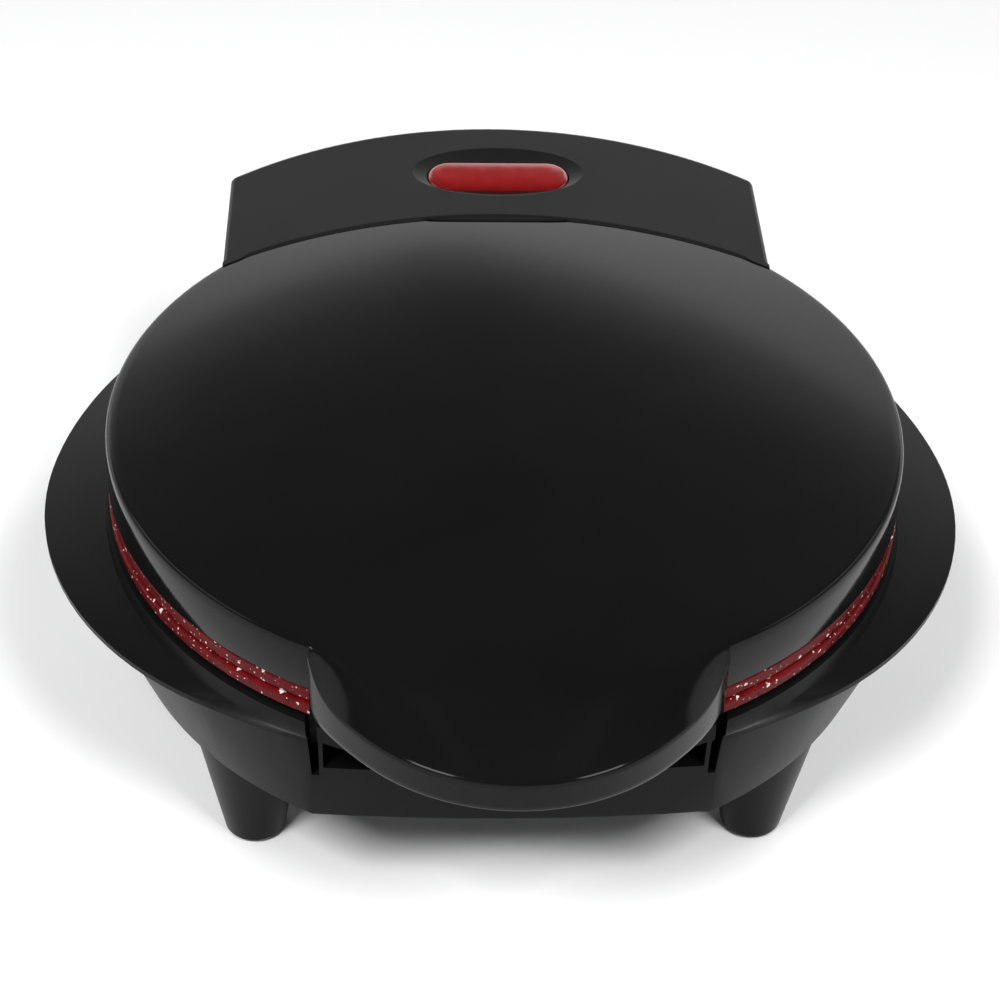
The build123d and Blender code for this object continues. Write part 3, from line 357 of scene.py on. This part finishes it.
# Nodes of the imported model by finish
NODES_OF_FINISH = {
    "block_satin": ("upper_housing", "hinge_cover"),
    "base_satin_painted_shade": ("base_housing", "legs", "bottom_cover"),
    "pad_rubber": ("foot_pads", "cord_bush"),
    "plate_coating": ("upper_cooking_plate", "lower_cooking_plate"),
    "plated_steel": (
        "upper_mounting_ring", "upper_heat_shield", "lower_heat_shield", "upper_element_clips",
        "lower_element_clips", "thermostat", "thermal_fuse"),
    "element_steel": ("upper_heating_element", "lower_heating_element"),
    "screw_steel": (
        "upper_housing_screws", "upper_plate_screws", "upper_clip_screws", "hinge_cover_screws",
        "lower_plate_screws", "lower_clip_screws", "bottom_screws", "hinge_pins"),
    "natural_plastic": ("lamp_holder", "terminal_block"),
    "lamp_glass": ("indicator_lamp",),
}


class OMELETTE_OT_finishes(bpy.types.Operator):
    """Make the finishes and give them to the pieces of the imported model"""

    bl_idname = "omelette.finishes"
    bl_label = "Finishes"

    def execute(self, context):
        tones = context.scene.omelette_finish
        lens = context.scene.omelette_lens
        satin = tones.satin_black
        for name, tone, rough, grain, specular in (
                ("lid_gloss", tones.gloss_black, (0.08, 0.13), GLOSS_GRAIN, 0.12),
                ("block_satin", satin, (0.36, 0.44), SATIN_GRAIN, 0.26),
                # Painted shade: the base's satin is the block's satin painted darker, as shade on the lower
                # housing.
                ("base_satin_painted_shade", scaled(satin, 0.55), (0.30, 0.37), SATIN_GRAIN, 0.08),
                # Painted shade: the notch's piece is the satin painted much darker.
                ("notch_painted_shade", scaled(satin, 0.35), (0.50, 0.60), SATIN_GRAIN, 0.05),
                ("pad_rubber", tones.rubber, (0.62, 0.78), RUBBER_GRAIN, 0.3),
                ("natural_plastic", tones.natural, (0.45, 0.60), INNER_GRAIN, 0.5)):
            moulded_plastic(name, tone, rough, grain, specular)
        speckled_coating("plate_coating", scaled(tones.plate_red, 0.8), tones.speck)
        top = lens.place[2]
        # The lens is painted darker below its crown as shade.
        lens_plastic("lens_red", tones.lens_red, tones.lens_painted_shade, low=top - lens.edge, high=top - 0.1 * MM)
        brushed_metal("plated_steel", tones.steel, (0.26, 0.40))
        brushed_metal("screw_steel", scaled(tones.steel, 0.85), (0.22, 0.34))
        brushed_metal("element_steel", tones.element, (0.40, 0.55))
        clear_glass("lamp_glass")
        for finish, nodes in NODES_OF_FINISH.items():
            for node in nodes:
                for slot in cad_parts[node].material_slots:
                    slot.material = bpy.data.materials[finish]
        return {"FINISHED"}


# ------------------------------------------------------------------ mesh helpers


def finish_piece(name, work, body, finish, replaced=(), sharp=32):
    """Turn a bmesh into a piece on a body, smooth but for edges turning by more than sharp degrees."""
    bmesh.ops.recalc_face_normals(work, faces=work.faces)
    for face in work.faces:
        face.smooth = True
    for edge in work.edges:
        edge.smooth = len(edge.link_faces) == 2 and edge.calc_face_angle(0) < math.radians(sharp)
    mesh = bpy.data.meshes.new(name)
    work.to_mesh(mesh)
    work.free()
    mesh.materials.append(bpy.data.materials[finish])
    piece = bpy.data.objects.new(name, mesh)
    bpy.context.scene.collection.objects.link(piece)
    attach(piece, body)
    if replaced:
        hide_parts(*replaced)
    return piece


def profile_step(work, vert, radius, height):
    """Next corner of a turned profile."""
    step = bmesh.ops.extrude_vert_indiv(work, verts=[vert])["verts"][0]
    step.co = (radius, PLATE_Y, height)
    return step


SOFT_EDGES = {"base_housing": 0.40 * MM, "legs": 0.35 * MM}
SOFTENED_TURN = math.radians(35)    # edges that turn by more than this are softened
FLAT_TURN = math.radians(0.5)       # faces that turn by less than this are one face


class OMELETTE_OT_housings(bpy.types.Operator):
    """Give the base housing and the legs their softened edges"""

    bl_idname = "omelette.housings"
    bl_label = "Softened housings"

    def execute(self, context):
        for node, width in SOFT_EDGES.items():
            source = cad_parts[node]
            work = bmesh.new()
            work.from_mesh(source.data)
            work.transform(source.matrix_world)
            bmesh.ops.remove_doubles(work, verts=work.verts, dist=2e-6)
            bmesh.ops.dissolve_limit(work, angle_limit=FLAT_TURN, verts=work.verts, edges=work.edges)
            piece = finish_piece(
                node + "_soft", work, "base", "base_satin_painted_shade", replaced=(node,))
            soften = piece.modifiers.new("soft_edges", "BEVEL")
            soften.limit_method = "ANGLE"
            soften.angle_limit = SOFTENED_TURN
            soften.width = width
            soften.segments = 2
            soften.harden_normals = True
        return {"FINISHED"}


# ------------------------------------------------------------------ lid


DOME_STEPS, CEILING_STEPS, TURN_STEPS = 36, 24, 180     # of the dome's arc, its inside and the full turn


def dome_sphere(lid):
    """Radius of the dome's sphere and the height of its middle."""
    rise = lid.top - lid.edge
    sphere = (lid.radius**2 + rise**2) / (2 * rise)
    return sphere, lid.top - sphere


def dome_height(lid, distance):
    """Height of the dome at a distance from the plate axis."""
    sphere, middle = dome_sphere(lid)
    return middle + math.sqrt(sphere**2 - distance**2)


class OMELETTE_OT_lid_dome(bpy.types.Operator):
    """Turn the lid's dome with its rim band and skirt"""

    bl_idname = "omelette.lid_dome"
    bl_label = "Lid dome"

    def execute(self, context):
        lid = context.scene.omelette_lid
        sphere, middle = dome_sphere(lid)
        work = bmesh.new()
        apex = work.verts.new((0, PLATE_Y, lid.top))
        arc = bmesh.ops.spin(
            work, geom=[apex], cent=(0, PLATE_Y, middle), axis=(0, 1, 0),
            angle=math.asin(lid.radius / sphere), steps=DOME_STEPS)
        rim = [item for item in arc["geom_last"] if isinstance(item, bmesh.types.BMVert)][0]
        band = profile_step(work, rim, lid.radius + lid.band_lean, lid.edge - lid.band_height)
        hem = profile_step(work, band, lid.radius + lid.flare, lid.skirt_bottom)
        inner_hem = profile_step(work, hem, lid.radius + lid.flare - lid.wall, lid.skirt_bottom)
        inner = lid.radius - lid.wall
        ceiling = profile_step(work, inner_hem, inner, dome_height(lid, inner) - lid.wall)
        bmesh.ops.spin(
            work, geom=[ceiling], cent=(0, PLATE_Y, middle - lid.wall), axis=(0, 1, 0),
            angle=-math.asin(inner / sphere), steps=CEILING_STEPS)
        for corner, radius, segments in (
                (rim, lid.rim_round, 6), (band, lid.band_round, 4), (hem, lid.hem_round, 3)):
            bmesh.ops.bevel(
                work, geom=[corner], offset=radius, offset_type="OFFSET", segments=segments,
                profile=0.5, affect="VERTICES", material=-1)
        bmesh.ops.spin(
            work, geom=work.verts[:] + work.edges[:], cent=(0, PLATE_Y, 0), axis=(0, 0, 1),
            angle=math.tau, steps=TURN_STEPS, use_merge=True)
        bmesh.ops.remove_doubles(work, verts=work.verts, dist=1e-6)
        # The rear ends on a plane just inside the hinge block
        cut = bmesh.ops.bisect_plane(
            work, geom=work.verts[:] + work.edges[:] + work.faces[:],
            plane_co=(0, PLATE_Y + lid.radius - lid.rear_setback, 0), plane_no=(0, 1, 0), clear_outer=True)
        cut_edges = [item for item in cut["geom_cut"] if isinstance(item, bmesh.types.BMEdge)]
        bmesh.ops.edgenet_fill(work, edges=cut_edges)
        finish_piece("lid_dome", work, "lid", "lid_gloss", replaced=("lid_cover",))
        return {"FINISHED"}


def chord_circle(start, end, bow):
    """Centre and radius of the arc through two plan points, bulging by bow away from the plate axis."""
    start, end = Vector(start), Vector(end)
    chord = end - start
    radius = (chord.length_squared / 4 + bow**2) / (2 * bow)
    middle = (start + end) / 2
    outward = Vector((chord.y, -chord.x)).normalized()
    if outward.dot(middle) < 0:
        outward = -outward
    return middle - outward * (radius - bow), radius


def reach_of(circle, direction):
    """Distance from the plate axis to a circle along a direction."""
    centre, radius = circle
    along = centre.dot(direction)
    return along + math.sqrt(along**2 - centre.length_squared + radius**2)


SECTIONS, SECTION_STEPS = 150, 100      # sections side by side, and steps of a hundredth round each
# Shares of the way round a section at which the overlap, the slope and the lip end
PATCH_END, SLOPE_END, LIP_END = 0.12, 0.60, 0.74
STEEPEST = 1.25                         # slope at the lip as a multiple of the mean slope
LEAST_RUN = 0.5 * MM                    # shortest run over which the slope is worked out
LIP_SHARE = 0.6                         # largest share of the overhang that the lip's rounding takes
CORNER_MARGIN = math.radians(0.35)      # by which the tongue stops short of each root corner


def tongue_outline(lid):
    """Nose circle, flank circle, the angle at which they meet, and the root corner."""
    nose_y = lid.nose_bow - lid.reach
    root_y = -math.sqrt(lid.radius**2 - lid.half_width**2) - lid.root_step
    nose = chord_circle((-lid.nose_half_width, nose_y), (lid.nose_half_width, nose_y), lid.nose_bow)
    flank = chord_circle((lid.nose_half_width, nose_y), (lid.half_width, root_y), lid.flank_bow)
    return nose, flank, math.atan2(lid.nose_half_width, -nose_y), (lid.half_width, root_y)


def hermite(share, start, end, start_slope, end_slope):
    """Value of the cubic between two values with the given slopes."""
    return ((2 * share**3 - 3 * share**2 + 1) * start + (share**3 - 2 * share**2 + share) * start_slope
            + (3 * share**2 - 2 * share**3) * end + (share**3 - share**2) * end_slope)


def dimple_dent(lid, side, radius):
    """Depth of the thumb dimple at a place on the tongue."""
    across = (radius - lid.reach + lid.dimple_setback) / lid.dimple_half_width
    along = radius * math.sin(side) / lid.dimple_half_length
    return lid.dimple_depth * max(0.0, 1 - across**2 - along**2)**1.5


def underside(lid, reach, hub_height, share):
    """Distance and height on the tongue's wall and underside, at a share of the way round."""
    inside = min(max(reach - lid.wall, lid.plate_clearance), reach - 0.1 * MM)
    hem = lid.hem_round
    hem_end = reach - hem if reach - inside > 1.2 * hem else inside
    patch_start = lid.radius - lid.patch_width
    # Share of the way round, distance and height
    corners = (
        (LIP_END, reach, hub_height),
        (0.80, reach, lid.lip_bottom + hem),
        (0.82, reach - 0.3 * hem, lid.lip_bottom + 0.3 * hem),
        (0.84, hem_end, lid.lip_bottom),
        (0.88, inside, lid.lip_bottom),
        (0.93, inside, max(hub_height - 1.5 * MM, lid.skirt_bottom + 0.2 * MM)),
        (0.96, lid.radius - 0.6 * MM, lid.edge - 3.2 * MM),
        (0.98, patch_start, lid.edge - 0.9 * MM),
        (1.00, patch_start, dome_height(lid, patch_start) + lid.patch_lift),
    )
    for (low, radius_low, z_low), (high, radius_high, z_high) in zip(corners, corners[1:]):
        if share <= high + 1e-9:
            part = (share - low) / (high - low)
            return radius_low + (radius_high - radius_low) * part, z_low + (z_high - z_low) * part


def tongue_point(lid, outline, side, share):
    """Distance and height at a share of the way round the section that stands at an angle off the front."""
    nose, flank, nose_angle, corner = outline
    direction = Vector((math.sin(side), -math.cos(side)))
    reach = reach_of(nose if side < nose_angle else flank, direction)
    foot = direction * reach
    from_corner = math.hypot(corner[0] - foot.x, corner[1] - foot.y)
    lip = lid.lip_top + (lid.edge - lid.lip_top) * math.exp(-from_corner / lid.root_rise)
    fall = STEEPEST * (lid.edge - lip) / max(reach - lid.radius, LEAST_RUN)
    tilt = math.atan(fall)
    rounding = min(lid.lip_radius, LIP_SHARE * (reach - lid.radius))
    hub = (reach - rounding, lip - rounding * math.tan((math.pi / 2 - tilt) / 2))
    if share <= PATCH_END:
        radius = lid.radius - lid.patch_width * (1 - share / PATCH_END)
        return radius, dome_height(lid, radius) + lid.patch_lift
    if share <= SLOPE_END:
        part = (share - PATCH_END) / (SLOPE_END - PATCH_END)
        run = hub[0] + rounding * math.sin(tilt) - lid.radius
        leaving = -math.tan(math.asin(lid.radius / dome_sphere(lid)[0])) * run
        height = hermite(
            part, lid.edge + lid.patch_lift, hub[1] + rounding * math.cos(tilt), leaving, -fall * run)
        radius = lid.radius + part * run
        return radius, height - dimple_dent(lid, side, radius)
    if share <= LIP_END:
        turn = tilt + (math.pi / 2 - tilt) * (share - SLOPE_END) / (LIP_END - SLOPE_END)
        return hub[0] + rounding * math.sin(turn), hub[1] + rounding * math.cos(turn)
    return underside(lid, reach, hub[1], share)


class OMELETTE_OT_tongue(bpy.types.Operator):
    """Shape the thumb tongue that flows out of the dome's front"""

    bl_idname = "omelette.tongue"
    bl_label = "Thumb tongue"

    def execute(self, context):
        lid = context.scene.omelette_lid
        outline = tongue_outline(lid)
        corner = outline[-1]
        widest = math.atan2(corner[0], -corner[1]) - CORNER_MARGIN
        work = bmesh.new()
        bmesh.ops.create_grid(work, x_segments=SECTIONS, y_segments=SECTION_STEPS, size=1.0)
        for vert in work.verts:
            angle = widest * vert.co.x
            radius, height = tongue_point(lid, outline, abs(angle), round((vert.co.y + 1) / 2, 6))
            vert.co = (radius * math.sin(angle), PLATE_Y - radius * math.cos(angle), height)
        bmesh.ops.remove_doubles(work, verts=work.verts, dist=1e-7)
        bmesh.ops.holes_fill(work, edges=[edge for edge in work.edges if edge.is_boundary], sides=0)
        finish_piece("lid_tongue", work, "lid", "lid_gloss", sharp=40)
        return {"FINISHED"}


# ------------------------------------------------------------------ indicator lens


CROWN_STEPS = (0.44, 0.30, 0.18, 0.08)   # shares of the crown's rise from the edge inwards
CROWN_INSET = 0.07                       # width of each step as a share of the lens's width


def lay_down(work, slope, place):
    """Tilt a piece made at the origin and move it to a place from the plate axis."""
    bmesh.ops.rotate(work, cent=(0, 0, 0), matrix=Matrix.Rotation(slope, 3, "X"), verts=work.verts)
    bmesh.ops.translate(work, vec=place + Vector((0, PLATE_Y, 0)), verts=work.verts)


class OMELETTE_OT_lens(bpy.types.Operator):
    """Mould the crowned indicator lens"""

    bl_idname = "omelette.lens"
    bl_label = "Indicator lens"

    def execute(self, context):
        lens = context.scene.omelette_lens
        work = bmesh.new()
        bmesh.ops.create_cube(work, size=1.0)
        bmesh.ops.scale(work, vec=(lens.length, lens.width, lens.thickness), verts=work.verts)
        bmesh.ops.translate(work, vec=(0, 0, -lens.thickness / 2), verts=work.verts)
        upright = [
            edge for edge in work.edges
            if abs(edge.verts[0].co.z - edge.verts[1].co.z) > lens.thickness / 2]
        bmesh.ops.bevel(
            work, geom=upright, offset=lens.corner, offset_type="OFFSET", segments=12,
            profile=0.5, affect="EDGES", material=-1)
        top = max(work.faces, key=lambda face: face.calc_center_median().z)
        bmesh.ops.bevel(
            work, geom=list(top.edges), offset=lens.edge, offset_type="OFFSET", segments=6,
            profile=0.5, affect="EDGES", material=-1)
        top = max(work.faces, key=lambda face: face.calc_center_median().z)
        for rise in CROWN_STEPS:
            bmesh.ops.inset_region(
                work, faces=[top], thickness=lens.width * CROWN_INSET, use_even_offset=True)
            bmesh.ops.translate(work, vec=(0, 0, lens.crown * rise), verts=top.verts)
        lay_down(work, lens.slope, Vector(lens.place) - Vector((0, 0, lens.crown)))
        finish_piece(
            "lens_cap", work, "lid", "lens_red", replaced=("indicator_lens",), sharp=50)
        return {"FINISHED"}


class OMELETTE_OT_notch(bpy.types.Operator):
    """Lay a thin dark piece along the joint of dome and hinge block, as painted shade of the grip notch's
    slot
    """

    bl_idname = "omelette.notch"
    bl_label = "Grip notch"

    def execute(self, context):
        lens = context.scene.omelette_lens
        work = bmesh.new()
        bmesh.ops.create_uvsphere(work, u_segments=64, v_segments=16, radius=1.0)
        half_size = (lens.notch_length / 2, lens.notch_width / 2, lens.notch_rise)
        bmesh.ops.scale(work, vec=half_size, verts=work.verts)
        lay_down(work, -lens.slope, Vector(lens.notch_place))
        # Painted shade: the dark piece stands in for the shadow inside the notch.
        finish_piece("grip_notch_painted_shade", work, "lid", "notch_painted_shade")
        return {"FINISHED"}


# ------------------------------------------------------------------ stage


class OMELETTE_OT_stage(bpy.types.Operator):
    """Floor, lamps, world and camera"""

    bl_idname = "omelette.stage"
    bl_label = "Stage"

    def execute(self, context):
        studio = context.scene.omelette_studio
        build_floor()
        build_world(context.scene, studio)
        build_lamps(studio)
        build_camera(context.scene, studio)
        return {"FINISHED"}


FLOOR_REACH = 6.0
FLOOR_WHITE, FLOOR_BOUNCE = (0.98, 0.98, 0.98), (0.55, 0.55, 0.55)


def build_floor():
    """Large white floor that keeps the shadow; it bounces less light than it shows."""
    mesh = bpy.data.meshes.new("studio_floor")
    floor = bpy.data.objects.new("studio_floor", mesh)
    bpy.context.scene.collection.objects.link(floor)
    work = bmesh.new()
    bmesh.ops.create_grid(work, x_segments=1, y_segments=1, size=FLOOR_REACH)
    work.to_mesh(mesh)
    work.free()
    mat = bpy.data.materials.new("studio_white")
    mat.use_nodes = True
    tree = mat.node_tree
    shader = tree.nodes["Principled BSDF"]
    shader.inputs["Roughness"].default_value = 0.8
    shader.inputs["Specular IOR Level"].default_value = 0.0
    path = tree.nodes.new("ShaderNodeLightPath")
    seen = combine(tree, "MAXIMUM", path.outputs["Is Camera Ray"], path.outputs["Is Glossy Ray"])
    seen = combine(tree, "MAXIMUM", seen, path.outputs["Is Transmission Ray"])
    tree.links.new(between(tree, seen, FLOOR_BOUNCE, FLOOR_WHITE), shader.inputs["Base Color"])
    mesh.materials.append(mat)


# Height of a direction, 0 at the horizon and 1 overhead, and the room's brightness there
SKY = (
    (0.00, 1.00), (0.30, 1.00), (0.345, 0.92), (0.375, 0.50), (0.44, 0.20),
    (0.52, 0.125), (0.68, 0.060), (1.00, 0.045),
)


def build_world(scene, studio):
    """Bright room behind and beside the cooker that fades to a dark ceiling and a dark front."""
    world = bpy.data.worlds.new("studio_world")
    scene.world = world
    world.use_nodes = True
    tree = world.node_tree
    background = tree.nodes["Background"]
    place = tree.nodes.new("ShaderNodeTexCoord").outputs["Generated"]
    parts = tree.nodes.new("ShaderNodeSeparateXYZ")
    tree.links.new(place, parts.inputs["Vector"])
    ramp = tree.nodes.new("ShaderNodeValToRGB")
    stops = ramp.color_ramp.elements
    while len(stops) < len(SKY):
        stops.new(0.5)
    for stop, (height, level) in zip(stops, SKY):
        stop.position = height
        stop.color = (level, level, level, 1)
    # The bright part reaches higher a little to each side; far to the sides and in front it is dark
    sideways = combine(tree, "ABSOLUTE", parts.outputs["X"], 0.0)
    height = parts.outputs["Z"]
    for shift in (
            spread(tree, sideways, 0.0, -0.17, 0.02, 0.36),
            spread(tree, sideways, 0.0, 0.55, 0.45, 0.95),
            spread(tree, parts.outputs["Y"], 0.9, 0.0, -0.9, 0.25)):
        height = combine(tree, "ADD", height, shift)
    tree.links.new(height, ramp.inputs["Fac"])
    tree.links.new(ramp.outputs["Color"], background.inputs["Color"])
    background.inputs["Strength"].default_value = studio.backdrop_level
    scene.view_settings.view_transform = "Standard"


def add_lamp(name, lamp_kind, side, power):
    """Rectangular area lamp on one side, aimed over the middle."""
    (across, forward, height), aim_height, size = lamp_kind
    place = Vector((across * side, forward, height))
    data = bpy.data.lights.new(name, "AREA")
    data.shape = "RECTANGLE"
    data.size, data.size_y = size
    data.energy = power
    lamp = bpy.data.objects.new(name, data)
    lamp.location = place
    lamp.rotation_euler = (place - Vector((0, 0, aim_height))).to_track_quat("Z", "Y").to_euler()
    bpy.context.scene.collection.objects.link(lamp)
    return lamp


# Place on the right, height aimed at over the middle, and size, in metres
SOFT_LAMP = ((0.62, -0.90, 1.50), 0.05, (0.50, 0.50))
EDGE_LAMP = ((0.74, -0.98, 0.42), 0.08, (0.42, 0.26))
RIM_LAMP = ((1.20, 0.00, 0.55), 0.08, (1.00, 0.36))


def build_lamps(studio):
    """Two soft lights in front that leave no mirror image, and faint strips that only show in gloss."""
    for side, power in ((-1, studio.left_power), (1, studio.right_power)):
        soft = add_lamp("soft_light", SOFT_LAMP, side, power)
        soft.visible_glossy = False
        edge = add_lamp("edge_light", EDGE_LAMP, side, power * studio.edge_share)
        rim = add_lamp("rim_light", RIM_LAMP, side, power * studio.rim_share)
        edge.visible_diffuse = rim.visible_diffuse = False


def build_camera(scene, studio):
    """Camera on the cooker's front, looking down."""
    data = bpy.data.cameras.new("studio_camera")
    data.lens = studio.lens_length
    data.sensor_width = 36
    camera = bpy.data.objects.new("studio_camera", data)
    camera.location = studio.camera_place
    camera.rotation_euler = studio.camera_turn
    scene.collection.objects.link(camera)
    scene.camera = camera


# ------------------------------------------------------------------ panel and registration


STEPS = ("finishes", "housings", "lid_dome", "tongue", "lens", "notch", "stage")
GROUPS = {
    "omelette_lid": OmeletteLid,
    "omelette_lens": OmeletteLens,
    "omelette_finish": OmeletteFinish,
    "omelette_studio": OmeletteStudio,
}


class OMELETTE_PT_panel(bpy.types.Panel):
    """Sizes, colours and steps of the omelette maker"""

    bl_idname = "OMELETTE_PT_panel"
    bl_label = "Omelette Maker"
    bl_space_type = "VIEW_3D"
    bl_region_type = "UI"
    bl_category = "Omelette Maker"

    def draw(self, context):
        for step in STEPS:
            self.layout.operator("omelette." + step)
        for group in GROUPS:
            settings = getattr(context.scene, group)
            box = self.layout.box()
            for name in settings.bl_rna.properties.keys():
                if name not in ("rna_type", "name"):
                    box.prop(settings, name)


CLASSES = (
    *GROUPS.values(), OMELETTE_OT_finishes, OMELETTE_OT_housings, OMELETTE_OT_lid_dome, OMELETTE_OT_tongue,
    OMELETTE_OT_lens, OMELETTE_OT_notch, OMELETTE_OT_stage, OMELETTE_PT_panel,
)


def register():
    for cls in CLASSES:
        bpy.utils.register_class(cls)
    for name, group in GROUPS.items():
        setattr(bpy.types.Scene, name, PointerProperty(type=group))


def unregister():
    for name in GROUPS:
        delattr(bpy.types.Scene, name)
    for cls in reversed(CLASSES):
        bpy.utils.unregister_class(cls)


def main():
    register()
    for step in STEPS:
        getattr(bpy.ops.omelette, step)()


if __name__ == "__main__":
    main()
